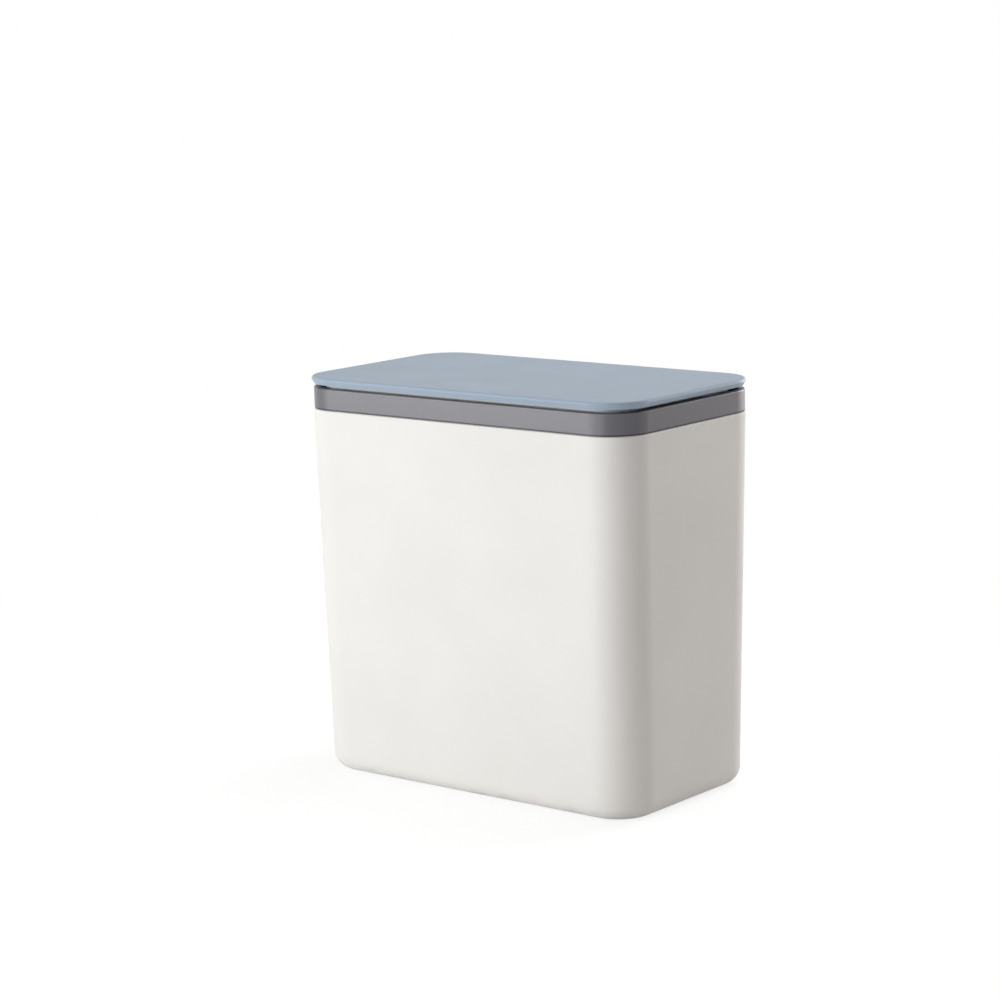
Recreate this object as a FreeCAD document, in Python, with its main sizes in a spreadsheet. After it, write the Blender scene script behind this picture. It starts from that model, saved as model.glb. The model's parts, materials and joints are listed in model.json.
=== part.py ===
import FreeCAD, Part
import Sketcher
import math
import os
import re

# Small desk bin with a press-to-open lid.
# A drafted bucket carries a lift-off collar. The collar holds the hinge pins, the
# torsion springs and the push latch; the lid swings up on the pins at the rear.
# Origin: middle of the base on the table. +X right, +Z up, the latch side faces -Y.

SIZES = {
    # Bucket
    "bin_width": 150,
    "bin_depth": 85,
    "bucket_height": 138,
    "draft_across": 1.9,
    "draft_along": 2.4,
    "rim_corner_radius": 15,
    "base_corner_growth": 1.1,
    "base_edge_radius": 6,
    "rim_edge_radius": 0.6,
    "bucket_wall": 1.8,
    "bucket_floor": 2.6,
    "foot_recess": 0.8,
    "foot_ring_width": 5,
    # Collar
    "collar_inset": 0.2,
    "collar_height": 8.1,
    "collar_wall": 2.2,
    "collar_foot_gap": 0.3,
    "collar_foot_step": 0.7,
    "collar_foot_radius": 0.2,
    "collar_top_radius": 0.5,
    "deck_drop": 2.5,
    "deck_thickness": 1.4,
    "skirt_depth": 11,
    "skirt_wall": 1.4,
    "skirt_clearance": 0.3,
    "mouth_side_margin": 13.8,
    "mouth_latch_gap": 0.9,
    "mouth_corner_radius": 12,
    "mouth_lip_depth": 3,
    "mouth_lip_wall": 1.2,
    "mouth_edge_radius": 0.6,
    # Lid panel
    "press_gap": 1.2,
    "lid_side_overhang": 0.4,
    "lid_front_overhang": 0.8,
    "lid_thickness": 2.7,
    "lid_corner_growth": 0.5,
    "lid_under_bevel": 0.9,
    "lid_under_bevel_height": 1.6,
    "lid_top_bevel": 0.3,
    "lid_edge_radius": 0.8,
    "panel_recess_depth": 1.1,
    "panel_boss_radius": 2.4,
    # Lid liner
    "liner_drop": 1.5,
    "liner_plate": 1.2,
    "liner_rim_wall": 1.6,
    "liner_side_gap": 2.6,
    "liner_front_gap": 1.5,
    "liner_rear_setback": 3.5,
    "liner_corner_inset": 1.6,
    "liner_clearance": 0.3,
    # Hinges
    "hinge_inset": 2.7,
    "hinge_side_inset": 29.8,
    "knuckle_width": 3,
    "knuckle_radius": 2.2,
    "knuckle_clearance": 0.3,
    "arm_width": 5,
    "arm_rear": 1.4,
    "arm_root": 5,
    "hinge_end_gap": 0.4,
    "pin_radius": 1,
    "pin_chamfer": 0.25,
    "pin_press_clearance": 0.02,
    "pin_running_clearance": 0.06,
    # Torsion springs
    "torsion_wire": 0.5,
    "torsion_pin_gap": 0.45,
    "torsion_pitch": 1,
    "torsion_leg": 7,
    "torsion_bend": 1,
    "torsion_leg_gap": 0.05,
    "torsion_arm_gap": 1.2,
    "torsion_seat_width": 1.6,
    "torsion_seat_height": 1.6,
    "torsion_seat_gap": 0.4,
    # Latch
    "latch_skirt_gap": 0.7,
    "latch_bore_width": 10.4,
    "latch_bore_depth": 5.2,
    "latch_wall": 1.4,
    "latch_floor": 1.6,
    "latch_deck_clearance": 0.2,
    "latch_edge_radius": 0.8,
    "ear_reach": 4.4,
    "ear_radius": 3.2,
    "ear_corner_radius": 3,
    "ear_thickness": 1.6,
    "screw_pad_height": 4,
    "screw_pad_radius": 2.6,
    "slider_clearance": 0.1,
    "slider_setback": 2.3,
    "jaw_depth": 8.3,
    "jaw_lead": 0.7,
    "face_recess_width": 5.6,
    "face_recess_depth": 0.9,
    "face_recess_margin": 0.8,
    "track_depth": 0.8,
    "track_width": 1.1,
    "track_length": 6.2,
    "track_half_span": 1.6,
    "track_margin": 0.5,
    "track_peak": 0.3,
    "track_rise": 1.4,
    "heart_notch": 0.8,
    "latch_spring_wire": 0.4,
    "latch_spring_radius": 1.7,
    "latch_spring_length": 6,
    "latch_spring_end_gap": 0.05,
    "cam_wire_radius": 0.35,
    "cam_bend_radius": 0.6,
    "cam_wire_gap": 0.1,
    "cam_tip_drop": 3.6,
    "cam_pivot_height": 1.3,
    "cam_hole_clearance": 0.08,
    # Striker
    "striker_head_width": 4,
    "striker_head_height": 3.7,
    "striker_depth": 3,
    "striker_neck_width": 2.6,
    "striker_reach": 9.7,
    "striker_lead": 0.8,
    "striker_flange_width": 11,
    "striker_flange_depth": 5.4,
    "striker_flange_gap": 0.2,
    "striker_play": 0.1,
    "striker_slot_clearance": 0.3,
    # Screws and bumpers
    "screw_radius": 0.8,
    "screw_hole_clearance": 0.2,
    "pilot_clearance": 0.02,
    "screw_head_radius": 1.6,
    "screw_head_height": 1,
    "screw_head_round": 0.4,
    "screw_point": 0.6,
    "screw_bottom_gap": 0.3,
    "liner_screw_side_inset": 22.8,
    "liner_screw_end_inset": 22.3,
    "panel_skin": 0.7,
    "bumper_radius": 2.5,
    "bumper_height": 1.2,
    "bumper_side_inset": 16.8,
    "bumper_edge_radius": 0.3,
    # One overrun for every cut that passes a face
    "overrun": 1,
}

HAND = {"right": 1, "left": -1}
TORSION_TURNS = 4.5
LATCH_SPRING_TURNS = 5
# Degrees by which the torsion spring is turned so that its legs close on the lid
LEG_TILT = 2.5

# Places and sizes that follow from the sheet
RULES = {
    "base_width": "bin_width - 2 * draft_across",
    "base_depth": "bin_depth - 2 * draft_along",
    "base_corner": "rim_corner_radius + base_corner_growth",
    "foot_width": "base_width - 2 * base_edge_radius",
    "foot_depth": "base_depth - 2 * base_edge_radius",
    "inner_base_radius": "base_edge_radius - bucket_wall",
    "collar_width": "bin_width - 2 * collar_inset",
    "collar_depth": "bin_depth - 2 * collar_inset",
    "collar_corner": "rim_corner_radius - collar_inset",
    "collar_top": "bucket_height + collar_height",
    "deck_top": "collar_top - deck_drop",
    "deck_under": "deck_top - deck_thickness",
    "well_width": "collar_width - 2 * collar_wall",
    "well_depth": "collar_depth - 2 * collar_wall",
    "well_corner": "collar_corner - collar_wall",
    "skirt_bottom": "bucket_height - skirt_depth",
    "skirt_share": "skirt_depth / bucket_height",
    "skirt_margin": "bucket_wall + skirt_clearance",
    "skirt_width": "bin_width - 2 * (draft_across * skirt_share + skirt_margin)",
    "skirt_breadth": "bin_depth - 2 * (draft_along * skirt_share + skirt_margin)",
    "skirt_corner": "rim_corner_radius - skirt_margin",
    "lid_bottom": "collar_top + press_gap",
    "lid_top": "lid_bottom + lid_thickness",
    "lid_width": "bin_width + 2 * lid_side_overhang",
    "lid_depth": "bin_depth + lid_front_overhang",
    "lid_shift": "-lid_front_overhang / 2",
    "lid_corner": "rim_corner_radius + lid_corner_growth",
    "torsion_radius": "pin_radius + torsion_pin_gap + torsion_wire / 2",
    "hinge_drop": "liner_drop + torsion_radius + torsion_wire / 2 + torsion_leg_gap",
    "axis_along": "collar_depth / 2 - hinge_inset",
    "axis_height": "lid_bottom - hinge_drop",
    "hinge_spread": "collar_width - 2 * hinge_side_inset",
    "notch_reach": "knuckle_radius + knuckle_clearance",
    "torsion_coil": "%s * torsion_pitch + torsion_wire" % TORSION_TURNS,
    "knuckle_gap": "arm_width + torsion_coil + torsion_arm_gap + 2 * hinge_end_gap",
    "knuckle_place": "(knuckle_gap + knuckle_width) / 2",
    "hinge_length": "knuckle_gap + 2 * knuckle_width",
    "arm_outer": "knuckle_gap / 2 - hinge_end_gap",
    "arm_inner": "arm_outer - arm_width",
    "coil_inner": "-knuckle_gap / 2 + hinge_end_gap + torsion_wire / 2",
    "seat_top": "-torsion_radius - torsion_wire / 2 - torsion_seat_gap",
    "liner_bottom": "lid_bottom - liner_drop",
    "liner_floor": "liner_bottom + liner_plate",
    "liner_top": "lid_bottom + panel_recess_depth",
    "liner_width": "well_width - 2 * liner_side_gap",
    "liner_front": "-well_depth / 2 + liner_front_gap",
    "liner_rear": "axis_along - liner_rear_setback",
    "liner_depth": "liner_rear - liner_front",
    "liner_shift": "(liner_rear + liner_front) / 2",
    "liner_corner": "well_corner - liner_corner_inset",
    "liner_screw_across": "collar_width / 2 - liner_screw_side_inset",
    "liner_screw_along": "collar_depth / 2 - liner_screw_end_inset",
    "latch_along": "-skirt_breadth / 2 + skirt_wall + latch_skirt_gap + latch_depth / 2",
    "latch_width": "latch_bore_width + 2 * latch_wall",
    "latch_depth": "latch_bore_depth + 2 * latch_wall",
    "latch_length": "latch_floor + latch_spring_length + slider_length + slider_setback",
    "mouth_width": "collar_width - 2 * mouth_side_margin",
    "mouth_depth": "-2 * latch_along - latch_depth - 2 * (mouth_lip_wall + mouth_latch_gap)",
    "bumper_across": "collar_width / 2 - bumper_side_inset",
    "ear_across": "latch_width / 2 + ear_reach",
    "ear_top": "-deck_thickness - screw_pad_height",
    "slider_width": "latch_bore_width - 2 * slider_clearance",
    "slider_depth": "latch_bore_depth - 2 * slider_clearance",
    "slider_length": "jaw_depth + face_recess_margin + track_length + 2 * track_margin",
    "slider_top": "-slider_setback",
    "slider_bottom": "-slider_setback - slider_length",
    "jaw_floor": "-slider_setback - jaw_depth",
    "jaw_gap": "striker_head_width + 2 * slider_clearance",
    "spring_floor": "-latch_length + latch_floor",
    "recess_floor": "slider_depth / 2 - face_recess_depth",
    "recess_top": "jaw_floor - face_recess_margin",
    "track_low": "slider_bottom + track_margin",
    "track_high": "recess_top - track_margin",
    "cam_tip_height": "jaw_floor - cam_tip_drop",
    "striker_flange": "liner_top - liner_floor - striker_play",
    "striker_flange_front": "liner_front + liner_rim_wall + striker_flange_gap - latch_along",
}

# Points of a model closer than this are one point
SAME_PLACE = 1e-4
# Points looked at along each edge when edges are picked
EDGE_SAMPLES = 5
# Points measured along each arc of a spring, and the stretch of wire, in wire
# diameters, that is too near along the wire to count as another turn
ARC_SAMPLES = 12
OWN_STRETCH = 4
# Share of a turn across which a spring's direction is taken
TURN_STEP_SHARE = 1e-4

doc = FreeCAD.newDocument("DeskBin")
sheet = doc.addObject("Spreadsheet::Sheet", "Sizes")
for row, (alias, value) in enumerate(SIZES.items(), start=1):
    sheet.set("A%d" % row, alias)
    sheet.set("B%d" % row, str(value))
    sheet.setAlias("B%d" % row, alias)
doc.recompute()


# Sizes, rules and binding

def expand(rule):
    """Write a rule out in cells of the sheet."""
    def word(match):
        name = match.group(0)
        if name in RULES:
            return "(" + expand(RULES[name]) + ")"
        return "Sizes." + name if name in SIZES else name
    return re.sub(r"[a-z_]+", word, rule)


def value_of(rule):
    return float(sheet.evalExpression(expand(rule)))


def bind(thing, field, rule):
    thing.setExpression(field, expand(rule))


def new_body(name):
    body = doc.addObject("PartDesign::Body", name)
    body.Label = name
    return body


def place(thing, across, along, height):
    for axis, rule in zip("xyz", (across, along, height)):
        bind(thing, "Placement.Base." + axis, rule)


# Sketches

def origin_of(body, role):
    return next(item for item in body.Origin.OriginFeatures if item.Role == role)


def new_sketch(body, name, plane="XY_Plane", across="0", along="0", off="0"):
    sketch = body.newObject("Sketcher::SketchObject", name)
    sketch.AttachmentSupport = [(origin_of(body, plane), "")]
    sketch.MapMode = "FlatFace"
    for axis, rule in zip("xyz", (across, along, off)):
        bind(sketch, "AttachmentOffset.Base." + axis, rule)
    return sketch


def fix_size(sketch, name, rule, *constraint):
    """Add a sized constraint and bind it to the sheet."""
    index = sketch.addConstraint(Sketcher.Constraint(*constraint, value_of(rule)))
    sketch.renameConstraint(index, name)
    bind(sketch, "Constraints." + name, rule)


def add_rounded_rectangle(sketch, tag, width, depth, corner):
    """Four lines and four equal arcs, centred on the sketch's origin."""
    half_w = value_of(width) / 2
    half_d = value_of(depth) / 2
    radius = value_of(corner)
    lines = []
    arcs = []
    for quarter in range(4):
        turn = FreeCAD.Rotation(FreeCAD.Vector(0, 0, 1), 90 * quarter)
        side, reach = (half_d, half_w) if quarter % 2 == 0 else (half_w, half_d)
        start = turn.multVec(FreeCAD.Vector(radius - reach, -side, 0))
        end = turn.multVec(FreeCAD.Vector(reach - radius, -side, 0))
        centre = turn.multVec(FreeCAD.Vector(reach - radius, radius - side, 0))
        lines.append(sketch.addGeometry(Part.LineSegment(start, end)))
        first = math.radians(90 * quarter - 90)
        ring = Part.Circle(centre, FreeCAD.Vector(0, 0, 1), radius)
        arcs.append(sketch.addGeometry(Part.ArcOfCircle(ring, first, first + math.pi / 2)))
    for quarter in range(4):
        following = lines[(quarter + 1) % 4]
        sketch.addConstraint(Sketcher.Constraint("Tangent", lines[quarter], 2, arcs[quarter], 1))
        sketch.addConstraint(Sketcher.Constraint("Tangent", arcs[quarter], 2, following, 1))
        direction = "Horizontal" if quarter % 2 == 0 else "Vertical"
        sketch.addConstraint(Sketcher.Constraint(direction, lines[quarter]))
        if quarter:
            sketch.addConstraint(Sketcher.Constraint("Equal", arcs[0], arcs[quarter]))
    sketch.addConstraint(Sketcher.Constraint("Symmetric", arcs[0], 3, arcs[2], 3, -1, 1))
    fix_size(sketch, tag + "_width", width, "DistanceX", lines[3], 1, lines[1], 1)
    fix_size(sketch, tag + "_depth", depth, "DistanceY", lines[0], 1, lines[2], 1)
    fix_size(sketch, tag + "_corner", corner, "Radius", arcs[0])


def rounded_sketch(body, name, width, depth, corner, along="0", off="0"):
    sketch = new_sketch(body, name, along=along, off=off)
    add_rounded_rectangle(sketch, "outline", width, depth, corner)
    return sketch


def add_outline(sketch, points, tag="point"):
    """A closed outline of straight lines through points given as pairs of rules."""
    corners = [FreeCAD.Vector(value_of(x), value_of(y), 0) for x, y in points]
    first = sketch.GeometryCount
    for index, corner in enumerate(corners):
        sketch.addGeometry(Part.LineSegment(corner, corners[(index + 1) % len(corners)]))
    for index, (x, y) in enumerate(points):
        line = first + index
        after = first + (index + 1) % len(points)
        sketch.addConstraint(Sketcher.Constraint("Coincident", line, 2, after, 1))
        fix_size(sketch, "%s_%d_x" % (tag, index), x, "DistanceX", -1, 1, line, 1)
        fix_size(sketch, "%s_%d_y" % (tag, index), y, "DistanceY", -1, 1, line, 1)


def box_points(left, right, low, high):
    return [(left, low), (right, low), (right, high), (left, high)]


def add_circle(sketch, tag, across, along, radius):
    centre = FreeCAD.Vector(value_of(across), value_of(along), 0)
    ring = sketch.addGeometry(Part.Circle(centre, FreeCAD.Vector(0, 0, 1), value_of(radius)))
    fix_size(sketch, tag + "_x", across, "DistanceX", -1, 1, ring, 3)
    fix_size(sketch, tag + "_y", along, "DistanceY", -1, 1, ring, 3)
    fix_size(sketch, tag + "_radius", radius, "Radius", ring)


# Features

def extrude(body, kind, sketch, length, reverse=False, middle=False):
    feature = body.newObject("PartDesign::" + kind, sketch.Name + kind)
    feature.Profile = sketch
    feature.Reversed = reverse
    feature.Midplane = middle
    bind(feature, "Length", length)
    doc.recompute()
    return feature


def pad(body, sketch, length, reverse=False, middle=False):
    return extrude(body, "Pad", sketch, length, reverse, middle)


def pocket(body, sketch, length, reverse=False, middle=False):
    return extrude(body, "Pocket", sketch, length, reverse, middle)


def loft(body, kind, sketches, ruled=False):
    feature = body.newObject("PartDesign::" + kind, sketches[0].Name + "Loft")
    feature.Profile = sketches[0]
    feature.Sections = sketches[1:]
    feature.Ruled = ruled
    doc.recompute()
    return feature


def revolve(body, sketch):
    feature = body.newObject("PartDesign::Revolution", sketch.Name + "Turned")
    feature.Profile = sketch
    feature.ReferenceAxis = (sketch, ["V_Axis"])
    feature.Angle = 360
    doc.recompute()
    return feature


def mirror(body, name, originals):
    """The same features at the left."""
    feature = body.newObject("PartDesign::Mirrored", name)
    feature.Originals = originals
    feature.MirrorPlane = (origin_of(body, "YZ_Plane"), [""])
    body.Tip = feature
    doc.recompute()
    return feature


def edges_at(feature, test):
    """Names of the edges all of whose sampled points pass the test."""
    names = []
    for number, edge in enumerate(feature.Shape.Edges, start=1):
        points = edge.discretize(EDGE_SAMPLES)
        if all(test(point) for point in points):
            names.append("Edge%d" % number)
    if not names:
        raise RuntimeError("no edge found on " + feature.Name)
    return names


def dress(body, kind, field, name, edges, size):
    carrier = body.Tip
    feature = body.newObject("PartDesign::" + kind, name)
    feature.Base = (carrier, edges)
    bind(feature, field, size)
    body.Tip = feature
    doc.recompute()
    return feature


def fillet(body, name, edges, radius):
    return dress(body, "Fillet", "Radius", name, edges, radius)


def chamfer(body, name, edges, size):
    return dress(body, "Chamfer", "Size", name, edges, size)


def near(first, second):
    return abs(first - second) < SAME_PLACE


def level(rule):
    """A test for points at one height."""
    height = value_of(rule)
    return lambda point: near(point.z, height)


def upright_edges(feature):
    """Names of the straight edges that stand along Z."""
    return [name for name in edges_at(feature, lambda point: True)
            if near(abs(feature.Shape.getElement(name).tangentAt(0).z), 1)]


# Bucket

def make_bucket():
    body = new_body("bucket")
    low = rounded_sketch(body, "BucketBase", "base_width", "base_depth", "base_corner")
    high = rounded_sketch(body, "BucketRim", "bin_width", "bin_depth", "rim_corner_radius",
                          off="bucket_height")
    loft(body, "AdditiveLoft", [low, high])
    inner = []
    for name, width, depth, corner, height in (
            ("InsideBase", "base_width", "base_depth", "base_corner", "0"),
            ("InsideRim", "bin_width", "bin_depth", "rim_corner_radius", "bucket_height")):
        inner.append(rounded_sketch(body, name, width + " - 2 * bucket_wall",
                                    depth + " - 2 * bucket_wall", corner + " - bucket_wall",
                                    off=height + " + bucket_floor"))
    inside = loft(body, "SubtractiveLoft", inner)
    fillet(body, "InsideEdge", edges_at(inside, level("bucket_floor")), "inner_base_radius")
    fillet(body, "BaseEdge", edges_at(body.Tip, level("0")), "base_edge_radius")
    recess = rounded_sketch(body, "FootRecess", "foot_width - 2 * foot_ring_width",
                            "foot_depth - 2 * foot_ring_width",
                            "base_corner - base_edge_radius - foot_ring_width")
    cut = pocket(body, recess, "foot_recess", reverse=True)
    rim = edges_at(cut, level("bucket_height"))
    outer = [name for name in rim
             if not inside_outline(cut.Shape, name, "bin_width - bucket_wall",
                                   "bin_depth - bucket_wall", "rim_corner_radius - bucket_wall / 2")]
    fillet(body, "RimEdge", outer, "rim_edge_radius")
    return body


def inside_outline(shape, name, width, depth, corner):
    """True where the middle of the edge lies within that rounded rectangle."""
    edge = shape.getElement(name)
    middle = edge.valueAt((edge.FirstParameter + edge.LastParameter) / 2)
    radius = value_of(corner)
    past_x = abs(middle.x) - value_of(width) / 2 + radius
    past_y = abs(middle.y) - value_of(depth) / 2 + radius
    if past_x > 0 and past_y > 0:
        return math.hypot(past_x, past_y) < radius
    return max(past_x, past_y) < radius


# Collar

def make_collar():
    body = new_body("collar")
    wall = rounded_sketch(body, "CollarOuter", "collar_width", "collar_depth", "collar_corner",
                          off="bucket_height + collar_foot_gap")
    ring = pad(body, wall, "collar_height - collar_foot_gap")
    fillet(body, "CollarFoot", edges_at(ring, level("bucket_height + collar_foot_gap")),
           "collar_foot_radius")
    step = rounded_sketch(body, "CollarFootStep", "collar_width - 2 * collar_foot_step",
                          "collar_depth - 2 * collar_foot_step",
                          "collar_corner - collar_foot_step", off="bucket_height")
    pad(body, step, "collar_foot_gap")
    top = edges_at(body.Tip, level("collar_top"))
    fillet(body, "CollarTop", top, "collar_top_radius")
    skirt = rounded_sketch(body, "Skirt", "skirt_width", "skirt_breadth", "skirt_corner",
                           off="bucket_height")
    pad(body, skirt, "skirt_depth", reverse=True)
    well = rounded_sketch(body, "Well", "well_width", "well_depth", "well_corner", off="collar_top")
    pocket(body, well, "deck_drop")
    inner = ("skirt_width - 2 * skirt_wall", "skirt_breadth - 2 * skirt_wall",
             "skirt_corner - skirt_wall")
    under = rounded_sketch(body, "UnderDeck", *inner, off="skirt_bottom")
    pocket(body, under, "deck_under - skirt_bottom", reverse=True)
    lip = rounded_sketch(body, "MouthLip", "mouth_width + 2 * mouth_lip_wall",
                         "mouth_depth + 2 * mouth_lip_wall",
                         "mouth_corner_radius + mouth_lip_wall", off="deck_under")
    pad(body, lip, "mouth_lip_depth", reverse=True)
    mouth = rounded_sketch(body, "Mouth", "mouth_width", "mouth_depth", "mouth_corner_radius",
                           off="deck_top")
    opening = pocket(body, mouth, "deck_thickness + mouth_lip_depth + overrun")
    brink = [name for name in edges_at(opening, level("deck_top"))
             if inside_outline(opening.Shape, name, "mouth_width + mouth_lip_wall",
                               "mouth_depth + mouth_lip_wall",
                               "mouth_corner_radius + mouth_lip_wall / 2")]
    fillet(body, "MouthEdge", brink, "mouth_edge_radius")
    add_hinge_seats(body)
    add_latch_seat(body)
    return body


def hinge_sketch(body, name, off):
    """A sketch seen along X whose origin lies on the hinge axis."""
    return new_sketch(body, name, "YZ_Plane", "axis_along", "axis_height",
                      "hinge_spread / 2 + " + off)


def add_arch(sketch, radius):
    """A square foot with a half round over it, about the sketch's origin."""
    reach = value_of(radius)
    corners = [FreeCAD.Vector(x * reach, y * reach, 0)
               for x, y in ((-1, 0), (-1, -1), (1, -1), (1, 0))]
    sides = [sketch.addGeometry(Part.LineSegment(start, end))
             for start, end in zip(corners, corners[1:])]
    ring = Part.Circle(FreeCAD.Vector(0, 0, 0), FreeCAD.Vector(0, 0, 1), reach)
    crown = sketch.addGeometry(Part.ArcOfCircle(ring, 0, math.pi))
    for first, second in zip(sides, sides[1:]):
        sketch.addConstraint(Sketcher.Constraint("Coincident", first, 2, second, 1))
    sketch.addConstraint(Sketcher.Constraint("Tangent", sides[2], 2, crown, 1))
    sketch.addConstraint(Sketcher.Constraint("Tangent", crown, 2, sides[0], 1))
    for side, way in zip(sides, ("Vertical", "Horizontal", "Vertical")):
        sketch.addConstraint(Sketcher.Constraint(way, side))
    sketch.addConstraint(Sketcher.Constraint("Coincident", crown, 3, -1, 1))
    fix_size(sketch, "crown", radius, "Radius", crown)
    fix_size(sketch, "foot", "-" + radius, "DistanceY", -1, 1, sides[1], 1)


def add_hinge_seats(body):
    """Notches for the lid's arms and springs, knuckles for the pins, seats for the springs."""
    notch = hinge_sketch(body, "HingeNotch", "0")
    add_outline(notch, box_points("-notch_reach", "hinge_inset + overrun", "-notch_reach",
                                  "hinge_drop"))
    notch_cut = pocket(body, notch, "knuckle_gap", middle=True)
    window = hinge_sketch(body, "SpringWindow", "(arm_inner - knuckle_gap / 2) / 2")
    add_outline(window, box_points("-torsion_leg - knuckle_clearance", "0",
                                   "-torsion_radius - deck_thickness", "hinge_drop"))
    window_cut = pocket(body, window, "arm_inner + knuckle_gap / 2", middle=True)
    made = [notch_cut, window_cut]
    for name, place_across in (("KnuckleInner", "-knuckle_place"),
                               ("KnuckleOuter", "knuckle_place")):
        knuckle = hinge_sketch(body, name, place_across)
        add_arch(knuckle, "knuckle_radius")
        made.append(pad(body, knuckle, "knuckle_width", middle=True))
    seat = hinge_sketch(body, "SpringSeat", "coil_inner")
    reach = "(collar_depth - skirt_breadth) / 2 + skirt_wall / 2"
    add_outline(seat, box_points("-torsion_leg", "hinge_inset - " + reach,
                                 "seat_top - torsion_seat_height", "seat_top"))
    made.append(pad(body, seat, "torsion_seat_width", middle=True))
    bore = hinge_sketch(body, "PinBore", "0")
    add_circle(bore, "bore", "0", "0", "pin_radius + pin_press_clearance")
    made.append(pocket(body, bore, "hinge_length + overrun", middle=True))
    mirror(body, "HingeSeatsLeft", made)


def add_latch_seat(body):
    """The opening for the latch in the front of the deck, with two screw pads beneath."""
    opening = new_sketch(body, "LatchOpening", along="latch_along", off="deck_top")
    half_w = "(latch_width / 2 + latch_deck_clearance)"
    half_d = "(latch_depth / 2 + latch_deck_clearance)"
    add_outline(opening, box_points("-" + half_w, half_w, "-" + half_d, half_d))
    pocket(body, opening, "deck_thickness + overrun")
    pads = new_sketch(body, "ScrewPads", along="latch_along", off="deck_under")
    holes = new_sketch(body, "ScrewPilots", along="latch_along", off="deck_under - screw_pad_height")
    for hand, sign in HAND.items():
        across = "%d * ear_across" % sign
        add_circle(pads, "pad_" + hand, across, "0", "screw_pad_radius")
        add_circle(holes, "pilot_" + hand, across, "0", "screw_radius + pilot_clearance")
    pad(body, pads, "screw_pad_height", reverse=True)
    pocket(body, holes, "screw_pad_height + deck_thickness / 2", reverse=True)


# Hinge pins and torsion springs

def make_hinge_pin(hand):
    body = new_body("hinge_pin_" + hand)
    sketch = new_sketch(body, "Pin_" + hand, "YZ_Plane")
    add_circle(sketch, "pin", "0", "0", "pin_radius")
    rod = pad(body, sketch, "hinge_length", middle=True)
    ends = [name for name in edges_at(rod, lambda point: True)
            if rod.Shape.getElement(name).Curve.TypeId == "Part::GeomCircle"]
    chamfer(body, "PinEnds_" + hand, ends, "pin_chamfer")
    place(body, "%d * hinge_spread / 2" % HAND[hand], "axis_along", "axis_height")
    return body


def biarc(start, start_way, end, end_way):
    """Two tangent arcs from one point and direction to the next."""
    chord = end - start
    both = start_way + end_way
    spread = 2 * (1 - start_way.dot(end_way))
    along = chord.dot(both)
    reach = (math.sqrt(along ** 2 + spread * chord.dot(chord)) - along) / spread
    corner_a = start + start_way * reach
    corner_b = end - end_way * reach
    middle = (corner_a + corner_b) / 2
    return [tangent_arc(start, corner_a, middle), tangent_arc(middle, corner_b, end)]


def tangent_arc(start, corner, end):
    """The arc that leaves start and meets end along the two sides of the corner."""
    chord_middle = (start + end) / 2
    turn = (corner - start).getAngle(end - corner)
    rise = (end - start).Length / 2 * math.tan(turn / 4)
    towards = corner - chord_middle
    crest = chord_middle + towards * (rise / towards.Length)
    return Part.Arc(start, crest, end).toShape()


def coil_edges(point_at, turns):
    """Quarter turns of a coil as pairs of tangent arcs."""
    quarters = int(round(turns * 4))
    stations = [quarter / 4 for quarter in range(quarters + 1)]
    ways = []
    for station in stations:
        way = point_at(station + TURN_STEP_SHARE) - point_at(station - TURN_STEP_SHARE)
        ways.append(way.normalize())
    edges = []
    for index in range(quarters):
        edges += biarc(point_at(stations[index]), ways[index],
                       point_at(stations[index + 1]), ways[index + 1])
    return edges, ways[0], ways[-1]


def wire_tube(edges, radius):
    """One unbroken round tube along a chain of edges."""
    first = edges[0]
    start = first.valueAt(first.FirstParameter)
    way = first.tangentAt(first.FirstParameter)
    ring = Part.Wire([Part.makeCircle(radius, start, way)])
    return Part.Wire(edges).makePipeShell([ring], True, False)


def least_gap(edges, wire):
    """Least clear space between turns, measured on points along the wire."""
    points = []
    lengths = []
    run = 0
    for edge in edges:
        stations = edge.discretize(ARC_SAMPLES)
        for point in stations[:-1]:
            points.append(point)
            lengths.append(run + (point - stations[0]).Length)
        run += edge.Length
    least = None
    for index, point in enumerate(points):
        for other in range(index + 1, len(points)):
            if lengths[other] - lengths[index] < OWN_STRETCH * wire:
                continue
            gap = (points[other] - point).Length - wire
            least = gap if least is None else min(least, gap)
    return least


def leg_corners(start, way, bend, leg):
    """Where a leg square to X leaves the coil, its bend's corner and end, and its tip."""
    square = FreeCAD.Vector(0, way.y, way.z).normalize()
    corner = start + way * (bend / 2)
    bend_end = corner + square * (bend / 2)
    return start, corner, bend_end, bend_end + square * (leg - bend)


def make_spring(name, edges, wire):
    """Round wire along the edges, as one tube."""
    print("%s: least gap between turns %.3f mm" % (name, least_gap(edges, wire)))
    spring = doc.addObject("Part::Feature", name)
    spring.Label = name
    spring.Shape = wire_tube(edges, wire / 2)
    return spring


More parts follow.
